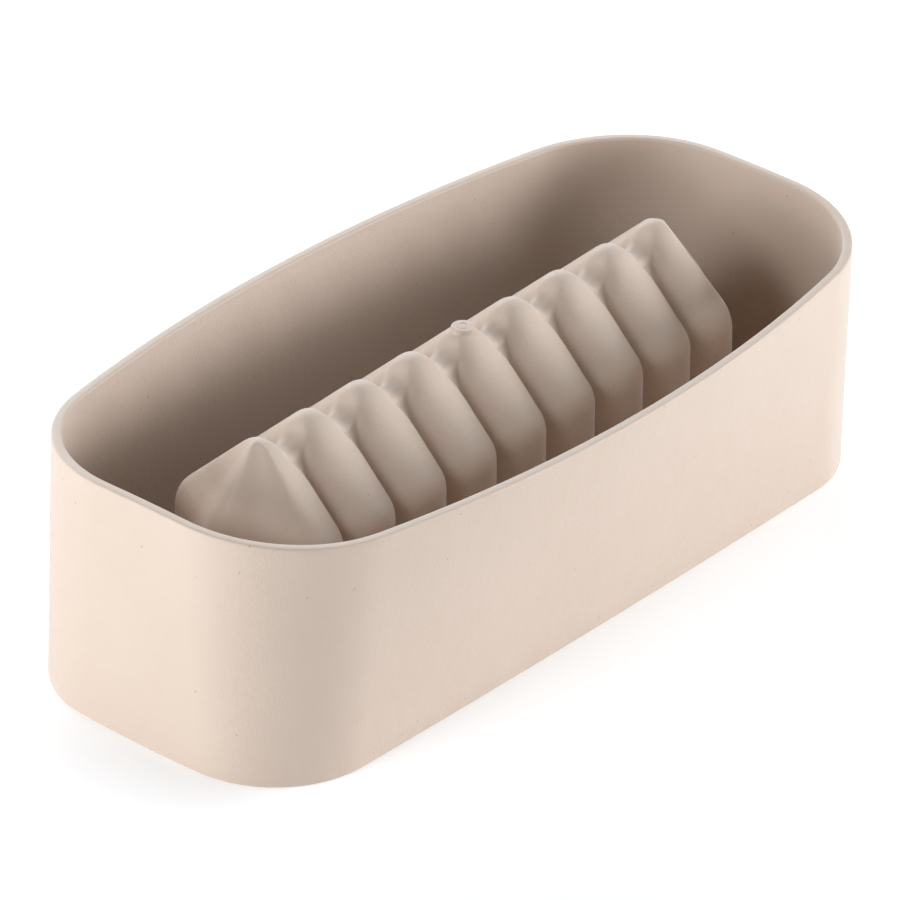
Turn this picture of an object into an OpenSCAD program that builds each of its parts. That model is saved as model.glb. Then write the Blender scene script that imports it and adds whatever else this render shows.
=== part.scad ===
// Silicone mould for a fluted bar, shown as it is stored: mouth down on its flat deck.
// The skirt stands round the outside of a fluted, house-shaped cavity.
// Axes: +X along the bar, +Y across it, +Z up. Origin: middle of the flat deck face.

/* [Skirt] */
// Length of the skirt over its top rim
rim_length = 296; // [286:1:300]
// Width of the skirt over its top rim, at the middle of the long sides
rim_width = 146.8; // [140:0.2:150]
// Radius of the rim's corners, seen from above
rim_corner_r = 47.7; // [40:0.1:52]
// Radius of the bow in the rim's long sides
rim_side_bow_r = 570; // [500:5:800]
// Length of the skirt at the deck
base_length = 298; // [288:1:302]
// Width of the skirt at the deck
base_width = 119.6; // [112:0.2:128]
// Radius of the deck's corners, seen from above
base_corner_r = 36.9; // [30:0.1:42]
// Radius of the bow in the deck's long sides
base_side_bow_r = 5460; // [3000:10:8000]
// Radius of the bow in the deck's ends
base_end_bow_r = 461; // [300:1:1000]
// Height of the skirt at its two ends
skirt_height = 84.4; // [80:0.2:90]
// How much lower the rim is at the middle of the long sides
rim_dip = 3.2; // [0:0.1:4]
// Thickness of the skirt's wall
skirt_wall_t = 3.4; // [2.4:0.1:4.5]

/* [Rim and deck] */
// Height of the rim piece on top of the skirt's wall
rim_band_h = 4; // [3:0.5:8]
// Radius that rounds the rim's two edges
rim_edge_r = 0.9; // [0.4:0.1:1.2]
// Thickness of the flat deck round the mouth
deck_t = 3; // [2:0.1:4]
// Chamfer on the skirt's bottom outer edge
base_edge_c = 0.7; // [0.3:0.1:1.2]
// Radius of the flare between the skirt's inside and the deck
skirt_foot_r = 5; // [3:0.5:7]

/* [Fluted cavity] */
// Distance from one rib to the next
rib_pitch = 24; // [20:0.5:24]
// Height of the ridge above the deck face
ridge_height = 84.2; // [80:0.2:84.6]
// Half of the cavity's outer width at the eaves, on a rib's crest
eave_half_w = 30.6; // [28:0.2:33]
// How much wider each wall stands at the deck than at the eaves
wall_draft = 1.4; // [0.5:0.1:2.5]
// Slope of the roof from the horizontal, in degrees
roof_slope = 43.5; // [38:0.5:47]
// Radius that rounds the ridge
ridge_r = 7.5; // [7.5:0.5:11]
// Radius that rounds the eaves
eave_r = 13; // [10:0.5:15]
// Depth of the grooves between the ribs, on the walls
groove_depth = 6; // [3:0.1:6.5]
// Depth of the grooves where they cross the ridge
ridge_groove_depth = 7; // [3:0.2:7]
// Share of a flank that is its round crest, at the ridge; the rest is the round groove
ridge_crest_share = 0.5; // [0.4:0.05:1]
// Share of the half width, out from the ridge, at which the crests are fully wide
groove_rise = 0.45; // [0.3:0.05:1]
// Thickness of the cavity's wall
cavity_wall_t = 3; // [2:0.1:3]
// Radius of the flare where the cavity's walls meet the deck
foot_r = 4; // [2:0.5:6]

/* [Hipped ends] */
// Distance from an end rib's crest to the tip of its hipped end, at the eaves
hip_reach = 22.5; // [19:0.5:24]
// Radius of the end ridge at the eaves, seen from above
hip_tip_r = 7; // [5:0.5:9]
// Radius of the end rib's crest towards the hip, seen from above
hip_crest_r = 8; // [6:0.5:12]
// Depth of the hollow between the end ridge and the end rib
hip_hollow = 0.8; // [0:0.1:1.5]

/* [Gate mark] */
// Diameter of the raised pad's foot on the middle rib
gate_pad_foot_d = 10; // [9:0.2:10]
// Diameter of the pad's flat top
gate_pad_d = 7.6; // [6:0.2:8]
// Height of the pad above the ridge
gate_pad_h = 0.5; // [0.4:0.1:1.5]
// Outer diameter of the ring on the pad
gate_ring_d = 4.2; // [3.8:0.2:5.6]
// Inner diameter of the ring on the pad
gate_ring_bore_d = 2.8; // [2:0.2:3.4]
// Height of the ring above the pad
gate_ring_h = 0.2; // [0.2:0.1:0.5]

/* [Hidden] */

silicone = [0.84, 0.76, 0.68];
silicone_light = [0.90, 0.84, 0.77];
straight_r = 8800;              // a bow this flat is a straight line
end_steps = 4;                  // steps along half of an end, a corner and half of a long side
corner_steps = 12;
side_steps = 12;
rib_count = 9;                  // the two hipped end ribs included, one node for each
rib_steps = 10;                 // steps across one rib
hip_steps = 24;                 // steps round one hipped end
arc_steps = 5;                  // steps round the ridge and an eave
edge_steps = 3;                 // steps round a rim edge and the foot's flare

first_rib_x = -(rib_count - 1) / 2 * rib_pitch;
half_pitch = rib_pitch / 2;

// ---- helpers -------------------------------------------------------------------------------

function lerp(a, b, f) = a + (b - a) * f;
function smooth(f) = let (c = min(1, max(0, f))) c * c * (3 - 2 * c);
function reversed(list) = [for (i = [len(list) - 1:-1:0]) list[i]];
function arc(centre, r, from, to, steps) =
    [for (i = [0:steps]) centre + r * [cos(lerp(from, to, i / steps)), sin(lerp(from, to, i / steps))]];
function without_first(list) = [for (i = [1:len(list) - 1]) list[i]];

// Solid through a row of like sections, each a closed loop of points that starts at its lowest outer point.
// The end sections are filled by a ladder of triangles between the loop's two halves.
module sweep(sections, closed = false) {
    n = len(sections[0]);
    m = len(sections);
    last = closed ? m - 1 : m - 2;
    sides = [for (i = [0:last], j = [0:n - 1])
        let (a = i * n, b = (i + 1) % m * n, k = (j + 1) % n)
            each [[a + j, b + k, b + j], [a + j, a + k, b + k]]];
    ladder = [for (j = [0:floor((n - 1) / 2) - 1])
        let (k = n - 1 - j)
            each concat([[j, j + 1, k]], j + 1 < k - 1 ? [[j + 1, k - 1, k]] : [])];
    end = (m - 1) * n;
    caps = closed ? [] : [for (t = ladder) each [reversed(t), [t[0] + end, t[1] + end, t[2] + end]]];
    polyhedron([for (s = sections) each s], concat(sides, caps), convexity = 8);
}

// ---- skirt ---------------------------------------------------------------------------------

// Rectangle with bowed sides and round corners, as [half length, half width, corner, side bow, end bow].
rim_shape = [rim_length / 2, rim_width / 2, rim_corner_r, rim_side_bow_r, straight_r];
base_shape = [base_length / 2, base_width / 2, base_corner_r, base_side_bow_r, base_end_bow_r];

// Centre of the corner circle that touches both bowed sides.
function corner_centre(s) =
    let (side = [0, s[1] - s[3]], end = [s[0] - s[4], 0],
         r_side = s[3] - s[2], r_end = s[4] - s[2],
         gap = norm(end - side), along = (gap * gap + r_side * r_side - r_end * r_end) / (2 * gap),
         off = sqrt(r_side * r_side - along * along), u = (end - side) / gap)
    side + along * u + off * [u[1], -u[0]];

function quarter_outline(s, inset) =
    let (side = [0, s[1] - s[3]], end = [s[0] - s[4], 0], c = corner_centre(s),
         end_angle = atan2(c[1], c[0] - end[0]), side_angle = atan2(c[1] - side[1], c[0]))
    concat(arc(end, s[4] - inset, 0, end_angle, end_steps),
        without_first(arc(c, s[2] - inset, end_angle, side_angle, corner_steps)),
        without_first(arc(side, s[3] - inset, side_angle, 90, side_steps)));

// Whole outline, anticlockwise from the middle of the right end.
function outline(s, inset = 0) =
    let (q = quarter_outline(s, inset), n = len(q))
    concat(q, [for (i = [n - 2:-1:0]) [-q[i][0], q[i][1]]],
        [for (i = [1:n - 1]) [-q[i][0], -q[i][1]]], [for (i = [n - 2:-1:1]) [q[i][0], -q[i][1]]]);

outline_n = 4 * (end_steps + corner_steps + side_steps);
rim_outer = outline(rim_shape);
dip_per_y2 = rim_dip / pow(rim_width / 2, 2);
function rim_z(i) = skirt_height - dip_per_y2 * pow(rim_outer[i][1], 2);

base_rows = [for (inset = [0, base_edge_c, skirt_wall_t]) outline(base_shape, inset)];
rim_rows = [for (inset = [0, base_edge_c, skirt_wall_t]) outline(rim_shape, inset)];

// Point on the skirt's wall: row 0 is its outside, row 1 the chamfer and row 2 its inside.
// The wall stands straight beside the deck and leans from there up to the rim.
function lean(i, z) = max(0, z - deck_t) / (rim_z(i) - deck_t);
function wall_point(i, row, z) =
    let (k = i % outline_n, p = lerp(base_rows[row][k], rim_rows[row][k], lean(k, z))) [p[0], p[1], z];

function wall_section(i) =
    let (top = rim_z(i % outline_n) - rim_band_h)
    [wall_point(i, 1, 0), wall_point(i, 0, base_edge_c), wall_point(i, 0, deck_t), wall_point(i, 0, top),
     wall_point(i, 2, top), wall_point(i, 2, deck_t), wall_point(i, 2, 0)];

module skirt_zone(first, last) {
    sweep([for (i = [first:last]) wall_section(i + outline_n)]);
}

corner_end = end_steps + corner_steps;
half_n = outline_n / 2;

module skirt_right_end() {
    color(silicone_light) skirt_zone(-corner_end, corner_end);
}
module skirt_back() {
    color(silicone_light) skirt_zone(corner_end, half_n - corner_end);
}
module skirt_left_end() {
    color(silicone_light) skirt_zone(half_n - corner_end, half_n + corner_end);
}
module skirt_front() {
    color(silicone_light) skirt_zone(half_n + corner_end, outline_n - corner_end);
}

// Rim band: the wall's last few millimetres, with both top edges rounded.
function rim_section(i) =
    let (top = rim_z(i), out = wall_point(i, 0, top), in = wall_point(i, 2, top),
         across = (in - out) / skirt_wall_t,
         edges = concat(arc([rim_edge_r, -rim_edge_r], rim_edge_r, 180, 90, edge_steps),
             arc([skirt_wall_t - rim_edge_r, -rim_edge_r], rim_edge_r, 90, 0, edge_steps)))
    concat([wall_point(i, 0, top - rim_band_h)],
        [for (e = edges) out + across * e[0] + [0, 0, e[1]]],
        [wall_point(i, 2, top - rim_band_h)]);

module skirt_rim() {
    color(silicone_light) sweep([for (i = [0:outline_n - 1]) rim_section(i)], closed = true);
}

// Flare between the skirt's inside and the deck, with a hollow round section.
module skirt_foot() {
    hollow = arc([-skirt_foot_r, skirt_foot_r], skirt_foot_r, -90, 0, edge_steps);
    loops = [for (h = hollow) [outline(base_shape, skirt_wall_t - h[0]), h[1]]];
    color(silicone)
        sweep([for (i = [0:outline_n - 1])
            concat([[base_rows[2][i][0], base_rows[2][i][1], deck_t]],
                [for (l = reversed(loops))
                    let (top = wall_point(i, 2, deck_t + l[1]), foot = wall_point(i, 2, deck_t))
                        [l[0][i][0], l[0][i][1], deck_t + l[1]] + [top[0] - foot[0], top[1] - foot[1], 0]])],
            closed = true);
}

// ---- fluted cavity -------------------------------------------------------------------------

// Half of the house-shaped profile on a rib's crest, from the deck up to the ridge.
// Each row is [half width, z, direction the wall faces in degrees above the horizontal].
function profile(inset) =
    let (w = eave_half_w - inset, r_eave = eave_r - inset, turn = 90 - roof_slope,
         top = ridge_height - inset / cos(roof_slope),
         apex = top + ridge_r * (1 / cos(roof_slope) - 1),
         eave_c = [w - r_eave, apex - w * tan(roof_slope) - r_eave * tan(turn / 2)],
         eave_arc = arc(eave_c, r_eave, 0, turn, arc_steps),
         ridge_arc = arc([0, top - ridge_r], ridge_r, turn, 90, arc_steps),
         slope = [for (f = [1, 2, 3]) lerp(eave_arc[arc_steps], ridge_arc[0], f / 4)])
    concat([for (f = [0, 0.5]) [w + wall_draft * (1 - f), lerp(deck_t, eave_c[1], f), 0]],
        [for (j = [0:arc_steps]) concat(eave_arc[j], turn * j / arc_steps)],
        [for (p = slope) concat(p, turn)],
        [for (j = [0:arc_steps]) concat(ridge_arc[j], lerp(turn, 90, j / arc_steps))]);

outer_profile = profile(0);
inner_profile = profile(cavity_wall_t);
profile_n = len(outer_profile);

// Depth of the groove beside a crest, at a share of the half width out from the ridge.
// A flank is a round crest that runs into a round groove; on the walls the crests meet in a sharp groove.
function groove(off, out) =
    let (deep = lerp(ridge_groove_depth, groove_depth, smooth(out)),
         share = lerp(ridge_crest_share, 1, smooth(out / groove_rise)),
         r = (half_pitch * half_pitch + deep * deep) / (2 * deep),
         crest_r = share * r, low_r = r - crest_r, x = abs(off))
    x <= share * half_pitch ? crest_r - sqrt(crest_r * crest_r - x * x)
    : deep - low_r + sqrt(low_r * low_r - pow(half_pitch - x, 2));

// Reach of a hipped end, from the end rib's ridge point, at a turn of 0 to 90 from the crest line:
// round the crest, along a slightly hollow face, and round the end ridge.
function hip_radius(turn) =
    let (crest = eave_half_w - hip_crest_r, tip = hip_reach - hip_tip_r,
         facing = acos((hip_tip_r - hip_crest_r) / norm([crest, tip])) - atan2(tip, crest),
         from = atan2(hip_crest_r * sin(facing), crest + hip_crest_r * cos(facing)),
         to = atan2(tip + hip_tip_r * sin(facing), hip_tip_r * cos(facing)))
    turn <= from ? crest * cos(turn) + sqrt(pow(hip_crest_r, 2) - pow(crest * sin(turn), 2))
    : turn >= to ? tip * sin(turn) + sqrt(pow(hip_tip_r, 2) - pow(tip * cos(turn), 2))
    : (crest * cos(facing) + hip_crest_r) / cos(turn - facing)
        - hip_hollow * pow(sin(180 * (turn - from) / (to - from)), 2);

// Column of points from the deck to the ridge, beside a rib's crest line; side is -1 in front, 1 behind.
function rib_column(x, off, side, inset, rows) =
    [for (p = rows)
        let (deep = groove(off, p[0] / (eave_half_w - inset)))
            [x + off, side * max(0, p[0] - deep * cos(p[2])), p[1] - deep * sin(p[2])]];

// Column of points on a hipped end; angle 0 is the front crest line and 180 the back one.
function hip_column(x, out, angle, inset, rows) =
    let (reach = (hip_radius(min(angle, 180 - angle)) - inset) / (eave_half_w - inset))
    [for (p = rows) [x + out * p[0] * reach * sin(angle), -p[0] * reach * cos(angle), p[1]]];

// Closed arch through the cavity's wall, at one place along a rib.
function arch(x, off) =
    concat(rib_column(x, off, -1, 0, outer_profile),
        without_first(reversed(rib_column(x, off, 1, 0, outer_profile))),
        rib_column(x, off, 1, cavity_wall_t, inner_profile),
        without_first(reversed(rib_column(x, off, -1, cavity_wall_t, inner_profile))));

module plain_rib(k, from = -0.5, to = 0.5) {
    x = first_rib_x + (k - 1) * rib_pitch;
    steps = round((to - from) * rib_steps);
    sweep([for (i = [0:steps]) arch(x, lerp(from, to, i / steps) * rib_pitch)]);
}

// Hipped end: two skins of columns that meet in one point each on the ridge.
module hip(k, out) {
    x = first_rib_x + (k - 1) * rib_pitch;
    rows = profile_n - 1;
    columns = hip_steps + 1;
    skins = [for (inset = [0, cavity_wall_t], a = [0:hip_steps])
        let (list = hip_column(x, out, 180 * a / hip_steps, inset, inset == 0 ? outer_profile : inner_profile))
            each [for (j = [0:rows - 1]) list[j]]];
    tops = [[x, 0, outer_profile[rows][1]], [x, 0, inner_profile[rows][1]]];
    inner = columns * rows;
    top = 2 * inner;
    strips = [for (a = [0:hip_steps - 1], j = [0:rows - 2])
        let (p = a * rows + j, q = p + rows)
            each [[p, p + 1, q + 1, q], [inner + p, inner + q, inner + q + 1, inner + p + 1]]];
    fans = [for (a = [0:hip_steps - 1])
        let (p = a * rows + rows - 1)
            each [[p, top, p + rows], [inner + p, inner + p + rows, top + 1]]];
    foot = [for (a = [0:hip_steps - 1]) [a * rows, (a + 1) * rows, inner + (a + 1) * rows, inner + a * rows]];
    back = hip_steps * rows;
    front_cap = [for (j = [0:rows - 2]) [j, inner + j, inner + j + 1, j + 1]];
    back_cap = [for (j = [0:rows - 2]) [back + j, back + j + 1, inner + back + j + 1, inner + back + j]];
    top_caps = [[rows - 1, inner + rows - 1, top + 1, top],
        [back + rows - 1, top, top + 1, inner + back + rows - 1]];
    faces = concat(strips, fans, foot, front_cap, back_cap, top_caps);
    polyhedron(concat(skins, tops), out < 0 ? [for (f = faces) reversed(f)] : faces, convexity = 8);
}

module rib(k) {
    color(silicone)
        if (k == 1) union() {
            hip(1, -1);
            plain_rib(1, 0, 0.5);
        }
        else if (k == rib_count) union() {
            hip(rib_count, 1);
            plain_rib(rib_count, -0.5, 0);
        }
        else plain_rib(k);
}

// Outline of the cavity's wall where it meets the deck, anticlockwise; out pushes it outwards.
function foot_outline(inset, rows, out) =
    let (row = [[rows[0][0] + out, rows[0][1], 0]],
         from = -rib_steps * (rib_count - 1) / 2, to = -from, step = rib_pitch / rib_steps,
         front = [for (i = [from:to]) side_foot(i * step, -1, inset, row)],
         right = [for (a = [1:hip_steps - 1]) hip_foot(-first_rib_x, 1, 180 * a / hip_steps, inset, row)],
         behind = [for (i = [to:-1:from]) side_foot(i * step, 1, inset, row)],
         left = [for (a = [hip_steps - 1:-1:1]) hip_foot(first_rib_x, -1, 180 * a / hip_steps, inset, row)])
    concat(front, right, behind, left);
function side_foot(x, side, inset, row) =
    let (crest = round(x / rib_pitch) * rib_pitch, p = rib_column(crest, x - crest, side, inset, row)[0])
    [p[0], p[1]];
function hip_foot(x, out, angle, inset, row) =
    let (p = hip_column(x, out, angle, inset, row)[0]) [p[0], p[1]];

// Flare between the cavity's walls and the deck, with a hollow round section.
module cavity_foot() {
    hollow = arc([foot_r, foot_r], foot_r, 270, 180, edge_steps);
    rows = [for (h = hollow) [foot_outline(0, outer_profile, h[0]), deck_t + h[1]]];
    corner = [foot_outline(0, outer_profile, 0), deck_t];
    loops = concat(rows, [corner]);
    color(silicone)
        sweep([for (i = [0:len(corner[0]) - 1]) [for (l = loops) concat(l[0][i], l[1])]], closed = true);
}

module deck() {
    color(silicone)
        linear_extrude(deck_t)
            difference() {
                polygon(outline(base_shape, skirt_wall_t));
                polygon(foot_outline(cavity_wall_t, inner_profile, 0));
            }
}

// ---- gate mark -----------------------------------------------------------------------------

gate_top = ridge_height + gate_pad_h;
gate_foot_z = ridge_height - cavity_wall_t + 0.1;
gate_flare = [for (f = [0:0.25:1])
    [lerp(gate_pad_d, gate_pad_foot_d, pow(1 - f, 2)) / 2, lerp(gate_foot_z, gate_top, f)]];

module gate_pad() {
    color(silicone)
        difference() {
            rotate_extrude($fn = 48)
                polygon(concat([[0, gate_foot_z]], gate_flare, [[0, gate_top]]));
            plain_rib((rib_count + 1) / 2);
        }
}

module gate_ring() {
    color(silicone_light)
        translate([0, 0, gate_top])
            difference() {
                cylinder(d = gate_ring_d, h = gate_ring_h, $fn = 48);
                translate([0, 0, -1]) cylinder(d = gate_ring_bore_d, h = gate_ring_h + 2, $fn = 48);
            }
}

deck();
skirt_front();
skirt_back();
skirt_left_end();
skirt_right_end();
skirt_rim();
skirt_foot();
cavity_foot();
for (k = [1:rib_count])
    rib(k);
gate_pad();
gate_ring();
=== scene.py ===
"""Silicone mould for a fluted, house-shaped bar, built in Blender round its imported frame.

The mould stands mouth down on its flat deck. Lengths are in metres, with +X along the bar,
+Y across it and +Z up. Run as a script, it builds the pieces, the stage and the camera.
"""

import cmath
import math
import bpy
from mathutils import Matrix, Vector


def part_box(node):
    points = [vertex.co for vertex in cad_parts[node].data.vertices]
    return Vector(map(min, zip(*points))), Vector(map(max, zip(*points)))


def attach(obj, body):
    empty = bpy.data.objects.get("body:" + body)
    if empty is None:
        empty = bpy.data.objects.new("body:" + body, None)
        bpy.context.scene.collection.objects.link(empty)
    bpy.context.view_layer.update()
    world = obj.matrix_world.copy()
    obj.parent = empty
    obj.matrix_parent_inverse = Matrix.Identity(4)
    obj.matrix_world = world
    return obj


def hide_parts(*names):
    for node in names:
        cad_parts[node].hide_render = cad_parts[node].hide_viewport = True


bl_info = {
    "name": "Fluted Bar Mould",
    "version": (1, 0, 0),
    "blender": (4, 5, 0),
    "location": "View3D > Sidebar > Mould",
    "description": "Builds a silicone mould for a fluted, house-shaped bar, with its stage",
    "category": "Add Mesh",
}

import bmesh
import bpy
from bpy.props import FloatProperty, FloatVectorProperty, PointerProperty
from mathutils import Matrix, Vector

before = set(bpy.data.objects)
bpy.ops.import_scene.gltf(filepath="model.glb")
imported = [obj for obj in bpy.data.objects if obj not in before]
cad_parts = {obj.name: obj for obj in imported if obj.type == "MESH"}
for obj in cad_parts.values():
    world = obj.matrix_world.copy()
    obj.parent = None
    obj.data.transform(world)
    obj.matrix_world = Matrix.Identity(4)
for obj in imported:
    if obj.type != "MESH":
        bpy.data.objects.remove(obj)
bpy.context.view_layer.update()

MM = 0.001
RIB_COUNT = 9
BODY = "root"
WHITE = (1.0, 1.0, 1.0, 1.0)

# Heights that the frame gives.
DECK_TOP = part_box("deck")[1].z
RIM_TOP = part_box("skirt_rim")[1].z
RIDGE_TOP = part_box("rib_5")[1].z
GATE_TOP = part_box("gate_ring")[1].z

# How finely the skirt is cut: round its outline, up its wall and round its edges.
END_STEPS, CORNER_STEPS, SIDE_STEPS = 10, 36, 40
CLIMB_ROWS = 16
BASE_STEPS, EDGE_STEPS, FLARE_STEPS = 4, 6, 8

# How finely the cavity is cut: across a rib, round a hip and up the profile.
RIB_STEPS, HIP_STEPS = 28, 84
WALL_ROWS, SLOPE_ROWS, ARC_ROWS = 12, 18, 14

# How finely the gate is cut: up the pad's flare and about its axis.
PAD_STEPS, TURN_STEPS = 12, 64

# The pad's foot stands this far above the inside of its rib.
PAD_LIFT = 0.1 * MM

MERGE_DISTANCE = 0.001 * MM
SHARP_ANGLE, RIM_SHARP_ANGLE = math.radians(38), math.radians(50)

# Scales of the patterns in the silicone and the floor, in cells per metre.
CLOUD_SCALE, GRAIN_SCALE, WAVER_SCALE, SPECK_SCALE = 28.0, 1400.0, 140.0, 140.0
FLOOR_CLOUD_SCALE = 9.0

# The specks: their radius as a share of a cell, the share of cells that stay empty, and how sharp
# and strong the specks are. Then the height of the grain.
SPECK_RADIUS, SPECK_EMPTY, SPECK_SHARPNESS, SPECK_STRENGTH = 0.06, 0.5, 40.0, 0.7
GRAIN_DISTANCE = 0.4 * MM

# The stage, in metres: the floor's half size and its gap below the deck, where the lights and the
# camera look, and how near the camera sees.
FLOOR_HALF, FLOOR_GAP = 9.0, 0.05 * MM
LIGHT_TARGET = Vector((0, 0, 0.04))
CAMERA_TARGET = Vector((-0.01295, -0.00693, 0.04801))
CLIP_START = 0.05

# The camera sensor's width in millimetres, the floor's own glow and the lamps' colour.
SENSOR_WIDTH = 36.0
FLOOR_GLOW = 0.3
LAMP_TINT = (0.91, 0.955, 1.0)

# Each light's azimuth and elevation in degrees, then its distance, width and height in metres.
LIGHTS = {
    "left": (-118, 8, 1.5, 1.5, 0.45),
    "right": (42, 13, 2.2, 2.0, 0.7),
    "high": (75, 62, 1.5, 0.9, 0.9),
    "side": (-98, 33, 1.8, 0.8, 0.5),
    "back": (150, 28, 1.8, 1.6, 0.6),
}


# ---- sizes and colours that a user can change ------------------------------------------------


def length(name, description, default):
    """A property for a length, its default given in millimetres."""
    return FloatProperty(
        name=name,
        description=description,
        default=default * MM,
        min=0.0,
        precision=4,
        subtype="DISTANCE",
        unit="LENGTH",
    )


def angle(name, description, default):
    """A property for an angle, its default given in degrees."""
    return FloatProperty(
        name=name, description=description, default=math.radians(default), subtype="ANGLE", unit="ROTATION"
    )


def share(name, description, default):
    """A property for a number from 0 to 1."""
    return FloatProperty(
        name=name, description=description, default=default, min=0.0, max=1.0, subtype="FACTOR"
    )


def colour(name, description, default):
    """A property for a colour, in linear light."""
    return FloatVectorProperty(
        name=name, description=description, default=default, size=3, min=0.0, max=1.0, subtype="COLOR"
    )


def watts(name, description, default):
    """A property for a lamp's power."""
    return FloatProperty(
        name=name, description=description, default=default, min=0.0, subtype="POWER", unit="POWER"
    )


class MouldSkirtSize(bpy.types.PropertyGroup):
    """Sizes of the skirt round the mould."""

    rim_length: length("Rim length", "Length of the skirt over its top rim", 296)
    rim_width: length("Rim width", "Width over the rim at the middle of the long sides", 146.8)
    rim_corner_r: length("Rim corner radius", "Radius of the rim's corners from above", 47.7)
    rim_side_r: length("Rim side bow", "Radius of the bow in the rim's long sides", 570)
    rim_end_r: length("Rim end bow", "Radius of the bow in the rim's ends", 8800)
    base_length: length("Base length", "Length of the skirt at the deck", 298)
    base_width: length("Base width", "Width of the skirt at the deck", 119.6)
    base_corner_r: length("Base corner radius", "Radius of the deck's corners from above", 36.9)
    base_side_r: length("Base side bow", "Radius of the bow in the deck's long sides", 5460)
    base_end_r: length("Base end bow", "Radius of the bow in the deck's ends", 461)
    rim_dip: length("Rim dip", "How much lower the rim is at the middle of the long sides", 3.2)
    wall_t: length("Wall thickness", "Thickness of the skirt's wall", 3.4)
    band_h: length("Rim height", "Height of the rim piece on top of the wall", 4)
    edge_r: length("Rim edge radius", "Radius that rounds the rim's two edges", 0.9)
    base_edge: length("Base edge", "Rounding of the skirt's bottom outer edge", 0.7)
    foot_r: length("Foot radius", "Radius of the flare between the skirt and the deck", 5)


class MouldCavitySize(bpy.types.PropertyGroup):
    """Sizes of the fluted cavity."""

    rib_pitch: length("Rib pitch", "Distance from one rib to the next", 24)
    eave_half_w: length("Eave half width", "Half of the outer width at the eaves, on a crest", 30.6)
    wall_draft: length("Wall draft", "How much wider each wall stands at the deck", 1.4)
    roof_slope: angle("Roof slope", "Slope of the roof from the horizontal", 43.5)
    ridge_r: length("Ridge radius", "Radius that rounds the ridge", 7.5)
    eave_r: length("Eave radius", "Radius that rounds the eaves", 13)
    groove_depth: length("Groove depth", "Depth of the grooves between the ribs, on the walls", 6)
    ridge_groove: length("Ridge groove depth", "Depth of the grooves where they cross the ridge", 7.5)
    crest_share: share("Crest share", "Share of a flank that is its round crest, at the ridge", 0.5)
    groove_rise: share("Groove rise", "Share of the half width at which the crests are fully wide", 0.45)
    wall_t: length("Cavity wall thickness", "Thickness of the cavity's wall", 3)
    foot_r: length("Cavity foot radius", "Radius of the flare between the cavity and the deck", 4)
    hip_reach: length("Hip reach", "Distance from an end rib's crest to the hip's tip", 22.5)
    hip_tip_r: length("Hip tip radius", "Radius of the end ridge at the eaves, from above", 7)
    hip_crest_r: length("Hip crest radius", "Radius of the end rib's crest towards the hip", 8)
    hip_hollow: length("Hip hollow", "Depth of the hollow between the end ridge and the rib", 0.8)


class MouldGateSize(bpy.types.PropertyGroup):
    """Sizes of the gate mark on the middle rib."""

    pad_foot_d: length("Pad foot diameter", "Diameter of the raised pad's foot", 10)
    pad_d: length("Pad diameter", "Diameter of the pad's flat top", 7.6)
    pad_edge_r: length("Pad edge radius", "Radius that rounds the pad's top edge", 0.5)
    ring_d: length("Ring diameter", "Outer diameter of the ring on the pad", 4.2)
    ring_bore_d: length("Ring bore", "Inner diameter of the ring on the pad", 2.8)
    ring_h: length("Ring height", "Height of the ring above the pad", 0.2)


class MouldFinish(bpy.types.PropertyGroup):
    """Colours and surface of the silicone."""

    light: colour("Light silicone", "Colour of the lighter clouds in the silicone", (0.61, 0.485, 0.395))
    deep: colour("Deep silicone", "Colour of the darker clouds in the silicone", (0.58, 0.455, 0.365))
    speck: colour("Speck", "Colour of the small dark specks", (0.33, 0.24, 0.18))
    roughness: share("Roughness", "Roughness of the satin surface", 0.46)
    grain: share("Grain", "Strength of the fine moulded grain", 0.3)
    floor: colour("Floor", "Colour of the floor", (0.86, 0.86, 0.86))


class MouldStage(bpy.types.PropertyGroup):
    """Camera and lights."""

    azimuth: angle("Camera azimuth", "Direction the camera stands in, from the front", -50.382)
    elevation: angle("Camera elevation", "Height of the camera above the horizon", 30.333)
    roll: angle("Camera roll", "Turn of the camera about its own axis", 1.736)
    distance: length("Camera distance", "Distance from the camera to the point it looks at", 2106)
    lens: FloatProperty(
        name="Lens", description="Focal length of the camera's lens", default=269.7, unit="CAMERA"
    )
    left_power: watts("Left light", "Power of the soft light on the left", 17)
    right_power: watts("Right light", "Power of the soft light on the right", 56)
    high_power: watts("High light", "Power of the soft light high on the right", 7)
    side_power: watts("Side light", "Power of the soft light that looks over the left end", 13)
    back_power: watts("Back light", "Power of the soft light behind, for bright edges", 23)
    ambient: share("Ambient light", "Strength of the even light from all round", 0.01)


# ---- geometry --------------------------------------------------------------------------------


def lerp(a, b, f):
    """The value a share f of the way from a to b."""
    return a + (b - a) * f


def smooth(f):
    """An even start and end between 0 and 1."""
    f = min(1.0, max(0.0, f))
    return f * f * (3 - 2 * f)


def arc(centre, radius, start, stop, steps):
    """Points of an arc as complex numbers, its angles in radians."""
    turns = [lerp(start, stop, i / steps) for i in range(steps + 1)]
    return [centre + radius * complex(math.cos(a), math.sin(a)) for a in turns]


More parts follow.
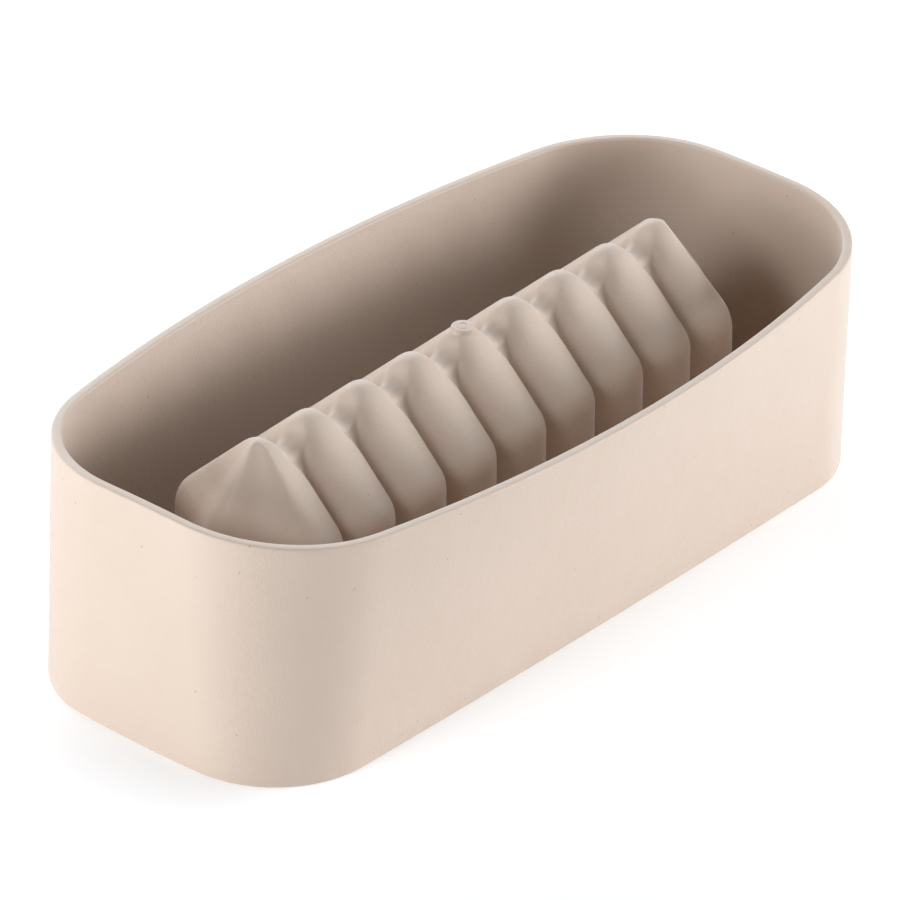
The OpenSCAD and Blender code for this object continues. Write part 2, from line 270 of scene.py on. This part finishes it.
class Skirt:
    """The skirt's bowed outlines at the deck and at the rim, and the wall between them."""

    def __init__(self):
        s = self.size = bpy.context.scene.mould_skirt
        self.base = (s.base_length / 2, s.base_width / 2, s.base_corner_r, s.base_side_r, s.base_end_r)
        self.rim = (s.rim_length / 2, s.rim_width / 2, s.rim_corner_r, s.rim_side_r, s.rim_end_r)
        self.outlines = {}
        self.count = len(self.outline(self.rim, 0))
        half_width = s.rim_width / 2
        self.tops = [RIM_TOP - s.rim_dip * (p.imag / half_width) ** 2 for p in self.outline(self.rim, 0)]

    def outline(self, shape, inset):
        """One outline, anticlockwise from the middle of the right end."""
        key = (shape, inset)
        if key not in self.outlines:
            half_length, half_width, corner_r, side_r, end_r = shape
            side, end = complex(0, half_width - side_r), complex(half_length - end_r, 0)
            to_side, to_end, gap = side_r - corner_r, end_r - corner_r, abs(end - side)
            along = (gap**2 + to_side**2 - to_end**2) / (2 * gap)
            across = math.sqrt(to_side**2 - along**2)
            unit = (end - side) / gap
            corner = side + along * unit - across * 1j * unit
            end_turn = math.atan2(corner.imag, (corner - end).real)
            side_turn = math.atan2((corner - side).imag, corner.real)
            q = arc(end, end_r - inset, 0, end_turn, END_STEPS)
            q += arc(corner, corner_r - inset, end_turn, side_turn, CORNER_STEPS)[1:]
            q += arc(side, side_r - inset, side_turn, math.pi / 2, SIDE_STEPS)[1:]
            left = [-p.conjugate() for p in q[-2::-1]]
            self.outlines[key] = q + left + [-p for p in q[1:]] + [p.conjugate() for p in q[-2:0:-1]]
        return self.outlines[key]

    def point(self, i, inset, z):
        """A point in the wall, at an inset from its outside; it leans from the deck up to the rim."""
        lean = max(0.0, z - DECK_TOP) / (self.tops[i] - DECK_TOP)
        p = lerp(self.outline(self.base, inset)[i], self.outline(self.rim, inset)[i], lean)
        return Vector((p.real, p.imag, z))


class Cavity:
    """The fluted cavity: a house-shaped profile on each rib's crest, with grooves between the ribs."""

    def __init__(self):
        s = self.size = bpy.context.scene.mould_cavity
        self.half_pitch = s.rib_pitch / 2
        self.profiles = {inset: self.profile(inset) for inset in (0.0, s.wall_t)}

    def crest(self, k):
        """Place of rib k's crest along the bar."""
        return (k - (RIB_COUNT + 1) / 2) * self.size.rib_pitch

    def profile(self, inset):
        """Half of the profile on a crest, from the deck up to the ridge.

        Each row is a point and the way it moves for a groove 1 deep: straight in on the walls and the
        eaves, and turning on the slope to straight down at the ridge.
        """
        s, slope = self.size, self.size.roof_slope
        w, eave_r, lean = s.eave_half_w - inset, s.eave_r - inset, math.pi / 2 - slope
        top = RIDGE_TOP - inset / math.cos(slope)
        apex = top + s.ridge_r * (1 / math.cos(slope) - 1)
        eave = complex(w - eave_r, apex - w * math.tan(slope) - eave_r * math.tan(lean / 2))
        steps = [i / WALL_ROWS for i in range(WALL_ROWS)]
        rows = [(complex(w + s.wall_draft * (1 - f), lerp(DECK_TOP, eave.imag, f)), 1 + 0j) for f in steps]
        rows += zip(arc(eave, eave_r, 0, lean, ARC_ROWS), arc(0, 1, 0, lean, ARC_ROWS))
        ridge = arc(complex(0, top - s.ridge_r), s.ridge_r, lean, math.pi / 2, ARC_ROWS)
        start = rows[-1][0]
        for f in (i / SLOPE_ROWS for i in range(1, SLOPE_ROWS)):
            turn = lerp(lean, math.pi / 2, f)
            way = complex(math.cos(turn), math.sin(turn)) / math.cos(turn - lean)
            rows.append((lerp(start, ridge[0], f), way))
        return rows + [(p, 1j / way.imag) for p, way in zip(ridge, arc(0, 1, lean, math.pi / 2, ARC_ROWS))]

    def groove(self, x, out):
        """Depth of the groove at x from a crest, and at a share of the half width out from the ridge."""
        s, half, x = self.size, self.half_pitch, abs(x)
        ridge_out = s.ridge_r * math.sin(s.roof_slope) / s.eave_half_w
        deep = lerp(s.ridge_groove, s.groove_depth, smooth(out / ridge_out))
        part = lerp(s.crest_share, 1, smooth(out / s.groove_rise))
        r = (half**2 + deep**2) / (2 * deep)
        crest_r, low_r = part * r, (1 - part) * r
        if x <= part * half:
            return crest_r - math.sqrt(crest_r**2 - x * x)
        return deep - low_r + math.sqrt(max(0.0, low_r**2 - (half - x) ** 2))

    def column(self, k, x, side, inset):
        """Points from the deck up to the ridge, at x from rib k's crest; side is -1 in front."""
        points = []
        for p, way in self.profiles[inset]:
            p -= way * self.groove(x, p.real / (self.size.eave_half_w - inset))
            points.append(Vector((self.crest(k) + x, side * max(0.0, p.real), p.imag)))
        points[-1].y = 0.0
        return points

    def arch(self, k, x, inset):
        """Points over the whole cavity, from the deck in front to the deck behind."""
        return self.column(k, x, -1, inset) + self.column(k, x, 1, inset)[-2::-1]

    def hip_radius(self, turn):
        """Reach of a hipped end at an angle from the crest line: the round crest, a face, the end ridge."""
        s = self.size
        crest, tip = s.eave_half_w - s.hip_crest_r, s.hip_reach - s.hip_tip_r
        facing = math.acos((s.hip_tip_r - s.hip_crest_r) / math.hypot(crest, tip)) - math.atan2(tip, crest)
        normal = complex(math.cos(facing), math.sin(facing))
        from_turn = cmath.phase(crest + s.hip_crest_r * normal)
        to_turn = cmath.phase(1j * tip + s.hip_tip_r * normal)
        if turn <= from_turn:
            return crest * math.cos(turn) + math.sqrt(s.hip_crest_r**2 - (crest * math.sin(turn)) ** 2)
        if turn >= to_turn:
            return tip * math.sin(turn) + math.sqrt(s.hip_tip_r**2 - (tip * math.cos(turn)) ** 2)
        face = (crest * math.cos(facing) + s.hip_crest_r) / math.cos(turn - facing)
        hollow = math.sin(math.pi * (turn - from_turn) / (to_turn - from_turn)) ** 2
        return face - s.hip_hollow * hollow

    def hip_column(self, k, out, turn, inset):
        """Points on a hipped end from the deck up to the ridge; turn 0 is the front crest line."""
        reach = self.hip_radius(min(turn, math.pi - turn)) - inset
        reach /= self.size.eave_half_w - inset
        along, across = out * reach * math.sin(turn), -reach * math.cos(turn)
        rows = [p for p, _ in self.profiles[inset]]
        points = [Vector((self.crest(k) + p.real * along, p.real * across, p.imag)) for p in rows]
        points[-1].xy = self.crest(k), 0.0
        return points

    def columns(self, k, inset):
        """All of rib k's columns, in order across the rib or round its hipped end."""
        if 1 < k < RIB_COUNT:
            steps = [i / RIB_STEPS for i in range(RIB_STEPS + 1)]
            return [self.arch(k, lerp(-self.half_pitch, self.half_pitch, f), inset) for f in steps]
        out = -1 if k == 1 else 1
        half = RIB_STEPS // 2
        xs = [-out * self.half_pitch * (1 - i / half) for i in range(half)]
        front = [self.column(k, x, -1, inset) for x in xs]
        behind = [self.column(k, x, 1, inset) for x in reversed(xs)]
        turns = [math.pi * i / HIP_STEPS for i in range(HIP_STEPS + 1)]
        return front + [self.hip_column(k, out, turn, inset) for turn in turns] + behind

    def foot_outline(self, push):
        """Outline of the cavity's outside on the deck, pushed outwards, anticlockwise from the front."""
        s, end_x = self.size, self.crest(RIB_COUNT)
        low = self.profiles[0.0][0][0].real + push

        def side_points(side):
            row = []
            for k in range(1, RIB_COUNT):
                for i in range(RIB_STEPS):
                    x = i / RIB_STEPS * s.rib_pitch
                    off = x if x <= self.half_pitch else x - s.rib_pitch
                    row.append((self.crest(k) + x, side * (low - self.groove(off, 1))))
            return row + [(end_x, side * low)]

        def hip_points(out):
            row = []
            for i in range(1, HIP_STEPS):
                turn = math.pi * i / HIP_STEPS
                reach = self.hip_radius(min(turn, math.pi - turn)) / s.eave_half_w * low
                row.append((out * (end_x + reach * math.sin(turn)), -reach * math.cos(turn)))
            return row

        return side_points(-1) + hip_points(1) + side_points(1)[::-1] + hip_points(-1)[::-1]


def sheet(bm, columns, wrap_x=False, wrap_y=False):
    """A grid in bm whose columns of vertices are placed one by one; it is closed where it wraps."""
    across, along = len(columns) - (not wrap_x), len(columns[0]) - (not wrap_y)
    made = bmesh.ops.create_grid(bm, x_segments=across, y_segments=along, size=1)["verts"]
    for v in made:
        i, j = round((v.co.x + 1) / 2 * across), round((v.co.y + 1) / 2 * along)
        v.co = columns[i % len(columns)][j % len(columns[0])]
    bmesh.ops.remove_doubles(bm, verts=made, dist=MERGE_DISTANCE)


def finish_piece(bm, name, replaced, sharp=SHARP_ANGLE):
    """Turns bm into a finished silicone piece, in place of the CAD nodes that it names."""
    bmesh.ops.recalc_face_normals(bm, faces=bm.faces)
    if any(e.is_boundary for e in bm.edges):
        raise RuntimeError(f"{name} isn't closed")
    mesh = bpy.data.meshes.new(name)
    bm.to_mesh(mesh)
    bm.free()
    mesh.shade_smooth()
    mesh.set_sharp_from_angle(angle=sharp)
    mesh.materials.append(silicone())
    piece = bpy.data.objects.new(name, mesh)
    bpy.context.scene.collection.objects.link(piece)
    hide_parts(*replaced)
    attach(piece, BODY)


# ---- materials -------------------------------------------------------------------------------


class Wire:
    """One output socket; sums and products with it add their Math nodes."""

    def __init__(self, recipe, socket):
        self.recipe, self.socket = recipe, socket

    def math(self, operation, first, second):
        """A Math node's result."""
        return self.recipe.node("Math", {"operation": operation}, {0: first, 1: second})

    def __add__(self, other):
        return self.math("ADD", self, other)

    def __rsub__(self, other):
        return self.math("SUBTRACT", other, self)

    def __mul__(self, other):
        return self.math("MULTIPLY", self, other)

    def __gt__(self, other):
        return self.math("GREATER_THAN", self, other)

    __radd__ = __add__


class Recipe:
    """Builds the nodes of one material."""

    def __init__(self, name):
        self.material = bpy.data.materials.new(name)
        self.material.use_nodes = True
        self.tree = self.material.node_tree
        self.tree.nodes.clear()

    def node(self, kind, settings=None, sockets=None, output=0):
        """Adds a node of a kind, with its settings first and then its sockets' values or links."""
        made = self.tree.nodes.new("ShaderNode" + kind)
        for key, value in (settings or {}).items():
            setattr(made, key, value)
        for key, value in (sockets or {}).items():
            if isinstance(value, Wire):
                self.tree.links.new(value.socket, made.inputs[key])
            else:
                made.inputs[key].default_value = value
        return Wire(self, made.outputs[output])

    def surface(self, **sockets):
        """Ends the material in one Principled surface."""
        shader = self.node("BsdfPrincipled", None, {k.replace("_", " "): v for k, v in sockets.items()})
        end = self.tree.nodes.new("ShaderNodeOutputMaterial")
        self.tree.links.new(shader.socket, end.inputs["Surface"])
        return self.material


def noise(recipe, place, scale, detail):
    """Soft clouds from 0 to 1 in the object's own space."""
    return recipe.node("TexNoise", None, {"Vector": place, "Scale": scale, "Detail": detail})


def blend_colours(recipe, factor, first, second):
    """A mix of two colours."""
    return recipe.node("Mix", {"data_type": "RGBA"}, {0: factor, 6: first, 7: second}, 2)


def opaque(tint):
    """A colour with full alpha."""
    return (*tint, 1.0)


def silicone():
    """Satin moulded silicone: faint clouds, small dark specks and a fine grain."""
    found = bpy.data.materials.get("silicone_satin")
    if found:
        return found
    f = bpy.context.scene.mould_finish
    r = Recipe("silicone_satin")
    place = r.node("TexCoord", None, None, "Object")
    clouds = noise(r, place, CLOUD_SCALE, 3.0)
    tone = blend_colours(r, clouds, opaque(f.deep), opaque(f.light))
    cells = {"Vector": place, "Scale": SPECK_SCALE, "Randomness": 1.0}
    near = r.node("TexVoronoi", None, cells)
    pick = r.node("TexVoronoi", None, cells, "Color")
    spot = (SPECK_RADIUS - near) * SPECK_SHARPNESS
    spot = r.node("Clamp", None, {0: spot}) * (pick > SPECK_EMPTY)
    tint = blend_colours(r, spot * SPECK_STRENGTH, tone, opaque(f.speck))
    grain = noise(r, place, GRAIN_SCALE, 2.0)
    waver = noise(r, place, WAVER_SCALE, 2.0)
    relief = {"Strength": f.grain, "Distance": GRAIN_DISTANCE, "Height": grain + waver * 1.5}
    bump = r.node("Bump", None, relief)
    return r.surface(
        Base_Color=tint,
        Roughness=f.roughness + clouds * 0.06 + grain * 0.05,
        IOR=1.5,
        Sheen_Weight=0.4,
        Sheen_Roughness=0.35,
        Normal=bump,
    )


def floor_finish():
    """Matt, pale studio floor with a trace of mottling."""
    f = bpy.context.scene.mould_finish
    r = Recipe("studio_floor")
    place = r.node("TexCoord", None, None, "Object")
    dull = [c * 0.985 for c in f.floor]
    tint = blend_colours(r, noise(r, place, FLOOR_CLOUD_SCALE, 3.0), opaque(dull), opaque(f.floor))
    return r.surface(Base_Color=tint, Roughness=0.85, Emission_Color=WHITE, Emission_Strength=FLOOR_GLOW)


# ---- operators -------------------------------------------------------------------------------


class MOULD_OT_skirt_wall(bpy.types.Operator):
    """Add the skirt's leaning wall, from the deck face up to the rim"""

    bl_idname = "fluted_mould.skirt_wall"
    bl_label = "Skirt Wall"

    def execute(self, context):
        skirt, s = Skirt(), context.scene.mould_skirt
        edge = arc(complex(s.base_edge, s.base_edge), s.base_edge, -math.pi / 2, -math.pi, BASE_STEPS)

        def section(i):
            top = skirt.tops[i] - s.band_h
            climb = [lerp(DECK_TOP, top, j / CLIMB_ROWS) for j in range(CLIMB_ROWS + 1)]
            outside = [skirt.point(i, p.real, p.imag) for p in edge]
            outside += [skirt.point(i, 0, z) for z in climb]
            inside = [skirt.point(i, s.wall_t, z) for z in reversed(climb)]
            return outside + inside + [skirt.point(i, s.wall_t, 0)]

        bm = bmesh.new()
        sheet(bm, [section(i) for i in range(skirt.count)], True, True)
        sides = ["skirt_front", "skirt_back", "skirt_left_end", "skirt_right_end"]
        finish_piece(bm, "skirt_wall", sides)
        return {"FINISHED"}


class MOULD_OT_skirt_rim(bpy.types.Operator):
    """Add the rim with its two rounded edges"""

    bl_idname = "fluted_mould.skirt_rim"
    bl_label = "Skirt Rim"

    def execute(self, context):
        skirt, s = Skirt(), context.scene.mould_skirt
        r, quarter = s.edge_r, math.pi / 2
        edges = arc(complex(r, -r), r, math.pi, quarter, EDGE_STEPS)
        edges += arc(complex(s.wall_t - r, -r), r, quarter, 0, EDGE_STEPS)

        def section(i):
            top = skirt.tops[i]
            out, across = skirt.point(i, 0, top), skirt.point(i, s.wall_t, top) - skirt.point(i, 0, top)
            foot = [skirt.point(i, inset, top - s.band_h) for inset in (0, s.wall_t)]
            lip = [out + across * (e.real / s.wall_t) + Vector((0, 0, e.imag)) for e in edges]
            return [foot[0]] + lip + [foot[1]]

        bm = bmesh.new()
        sheet(bm, [section(i) for i in range(skirt.count)], True, True)
        finish_piece(bm, "skirt_rim", ["skirt_rim"], RIM_SHARP_ANGLE)
        return {"FINISHED"}


class MOULD_OT_deck(bpy.types.Operator):
    """Give the flat deck round the mouth its finish, and add the flare that joins it to the skirt"""

    bl_idname = "fluted_mould.deck"
    bl_label = "Deck and Skirt Foot"

    def execute(self, context):
        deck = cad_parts["deck"]
        deck.data.materials.clear()
        deck.data.materials.append(silicone())
        skirt, s = Skirt(), context.scene.mould_skirt
        hollow = arc(complex(-s.foot_r, s.foot_r), s.foot_r, -math.pi / 2, 0, FLARE_STEPS)

        def section(i):
            foot = skirt.point(i, s.wall_t, DECK_TOP)
            flare = []
            for h in reversed(hollow):
                lean = skirt.point(i, s.wall_t, DECK_TOP + h.imag) - foot
                flare.append(skirt.point(i, s.wall_t - h.real, DECK_TOP) + lean)
            return [foot] + flare

        bm = bmesh.new()
        sheet(bm, [section(i) for i in range(skirt.count)], True, True)
        finish_piece(bm, "skirt_foot", ["skirt_foot"])
        return {"FINISHED"}


class MOULD_OT_cavity_foot(bpy.types.Operator):
    """Add the flare between the fluted cavity and the deck"""

    bl_idname = "fluted_mould.cavity_foot"
    bl_label = "Cavity Foot"

    def execute(self, context):
        cavity, r = Cavity(), context.scene.mould_cavity.foot_r
        hollow = arc(complex(r, r), r, -math.pi / 2, -math.pi, FLARE_STEPS)
        rings = [(cavity.foot_outline(h.real), DECK_TOP + h.imag) for h in hollow]
        rings.append((cavity.foot_outline(0.0), DECK_TOP))
        count = len(rings[0][0])
        sections = [[Vector((*outline[i], z)) for outline, z in rings] for i in range(count)]
        bm = bmesh.new()
        sheet(bm, sections, True, True)
        finish_piece(bm, "cavity_foot", ["cavity_foot"])
        return {"FINISHED"}


class MOULD_OT_ribs(bpy.types.Operator):
    """Add the nine ribs of the fluted cavity, the two at the ends with their hips"""

    bl_idname = "fluted_mould.ribs"
    bl_label = "Ribs"

    def execute(self, context):
        cavity = Cavity()
        for k in range(1, RIB_COUNT + 1):
            bm = bmesh.new()
            for inset in cavity.profiles:
                sheet(bm, cavity.columns(k, inset))
            borders = [e for e in bm.edges if e.is_boundary]
            bmesh.ops.bridge_loops(bm, edges=borders)
            name = f"rib_{k}"
            finish_piece(bm, name, [name])
        return {"FINISHED"}


class MOULD_OT_gate(bpy.types.Operator):
    """Add the gate mark on the middle rib: a raised pad with a small ring"""

    bl_idname = "fluted_mould.gate"
    bl_label = "Gate Mark"

    def turned(self, name, profile):
        """A piece turned about the upright axis from its half profile."""
        bm = bmesh.new()
        verts = [bm.verts.new((p.real, 0, p.imag)) for p in profile]
        edges = [bm.edges.new(pair) for pair in zip(verts, verts[1:])]
        around = {"axis": (0, 0, 1), "cent": (0, 0, 0), "angle": 2 * math.pi}
        bmesh.ops.spin(bm, geom=verts + edges, steps=TURN_STEPS, use_merge=True, **around)
        bmesh.ops.remove_doubles(bm, verts=bm.verts, dist=MERGE_DISTANCE)
        finish_piece(bm, name, [name])

    def execute(self, context):
        s = context.scene.mould_gate
        top = GATE_TOP - s.ring_h
        low = RIDGE_TOP - context.scene.mould_cavity.wall_t + PAD_LIFT
        foot, edge, r = s.pad_foot_d / 2, s.pad_d / 2, s.pad_edge_r
        steps = [i / PAD_STEPS for i in range(PAD_STEPS)]
        flare = [complex(lerp(edge, foot, (1 - f) ** 2), lerp(low, top - r, f)) for f in steps]
        lip = arc(complex(edge - r, top - r), r, 0, math.pi / 2, EDGE_STEPS)
        pad = [complex(0, low)] + flare + lip + [complex(0, top)]
        self.turned("gate_pad", pad)
        bore, outer, soft = s.ring_bore_d / 2, s.ring_d / 2, s.ring_h / 2
        ring = [complex(bore, top), complex(outer, top), complex(outer, top + soft)]
        ring += [complex(outer - soft, GATE_TOP), complex(bore + soft, GATE_TOP)]
        ring += [complex(bore, top + soft), complex(bore, top)]
        self.turned("gate_ring", ring)
        return {"FINISHED"}


class MOULD_OT_stage(bpy.types.Operator):
    """Add the pale floor, the soft studio lights and the camera"""

    bl_idname = "fluted_mould.stage"
    bl_label = "Stage"

    def light(self, name, power, azimuth, elevation, distance, width, height):
        """A soft area light aimed at the middle of the mould."""
        lamp = bpy.data.lights.new(name, "AREA")
        lamp.shape, lamp.size, lamp.size_y, lamp.energy = "RECTANGLE", width, height, power
        lamp.color = LAMP_TINT
        spot = bpy.data.objects.new(name, lamp)
        a, e = math.radians(azimuth), math.radians(elevation)
        back = Vector((math.sin(a) * math.cos(e), -math.cos(a) * math.cos(e), math.sin(e)))
        spot.rotation_mode = "QUATERNION"
        spot.rotation_quaternion = back.to_track_quat("Z", "Y")
        spot.location = LIGHT_TARGET + back * distance
        spot.visible_camera = False
        bpy.context.scene.collection.objects.link(spot)

    def camera(self, stage):
        """The camera, at its place and turn."""
        a, e = stage.azimuth, stage.elevation
        back = Vector((math.sin(a) * math.cos(e), -math.cos(a) * math.cos(e), math.sin(e)))
        right = Vector((math.cos(a), math.sin(a), 0))
        up = back.cross(right)
        c, s = math.cos(stage.roll), math.sin(stage.roll)
        axes = Matrix((c * right + s * up, c * up - s * right, back)).transposed()
        lens = bpy.data.cameras.new("camera")
        lens.lens, lens.sensor_width, lens.clip_start = stage.lens, SENSOR_WIDTH, CLIP_START
        camera = bpy.data.objects.new("camera", lens)
        camera.matrix_world = Matrix.Translation(CAMERA_TARGET + back * stage.distance) @ axes.to_4x4()
        bpy.context.scene.collection.objects.link(camera)
        bpy.context.scene.camera = camera

    def execute(self, context):
        stage = context.scene.mould_stage
        bm = bmesh.new()
        bmesh.ops.create_grid(bm, x_segments=8, y_segments=8, size=FLOOR_HALF)
        bmesh.ops.translate(bm, verts=bm.verts, vec=(0, 0, -FLOOR_GAP))
        mesh = bpy.data.meshes.new("floor")
        bm.to_mesh(mesh)
        bm.free()
        mesh.materials.append(floor_finish())
        floor = bpy.data.objects.new("floor", mesh)
        context.scene.collection.objects.link(floor)
        for name, place in LIGHTS.items():
            self.light(f"{name}_light", getattr(stage, f"{name}_power"), *place)
        context.scene.view_settings.view_transform = "Standard"
        world = bpy.data.worlds.new("studio")
        world.use_nodes = True
        sky = world.node_tree.nodes["Background"]
        sky.inputs["Color"].default_value = WHITE
        sky.inputs["Strength"].default_value = stage.ambient
        context.scene.world = world
        self.camera(stage)
        return {"FINISHED"}


OPERATORS = (
    MOULD_OT_skirt_wall,
    MOULD_OT_skirt_rim,
    MOULD_OT_deck,
    MOULD_OT_cavity_foot,
    MOULD_OT_ribs,
    MOULD_OT_gate,
    MOULD_OT_stage,
)
SETTINGS = {
    "mould_skirt": MouldSkirtSize,
    "mould_cavity": MouldCavitySize,
    "mould_gate": MouldGateSize,
    "mould_finish": MouldFinish,
    "mould_stage": MouldStage,
}


class MOULD_PT_panel(bpy.types.Panel):
    """Lists what the mould is built from"""

    bl_idname = "MOULD_PT_panel"
    bl_label = "Fluted Bar Mould"
    bl_space_type = "VIEW_3D"
    bl_region_type = "UI"
    bl_category = "Mould"

    def draw(self, context):
        for operator in OPERATORS:
            self.layout.operator(operator.bl_idname)
        for name, group in SETTINGS.items():
            box = self.layout.box()
            for key in group.__annotations__:
                box.prop(getattr(context.scene, name), key)


CLASSES = (*SETTINGS.values(), *OPERATORS, MOULD_PT_panel)


def register():
    """Adds the classes and their settings to Blender."""
    for cls in CLASSES:
        bpy.utils.register_class(cls)
    for name, group in SETTINGS.items():
        setattr(bpy.types.Scene, name, PointerProperty(type=group))


def unregister():
    """Takes them out again."""
    for name in SETTINGS:
        delattr(bpy.types.Scene, name)
    for cls in reversed(CLASSES):
        bpy.utils.unregister_class(cls)


def main():
    """Builds the mould and its stage."""
    register()
    mould = bpy.ops.fluted_mould
    mould.skirt_wall()
    mould.skirt_rim()
    mould.deck()
    mould.cavity_foot()
    mould.ribs()
    mould.gate()
    mould.stage()


if __name__ == "__main__":
    main()
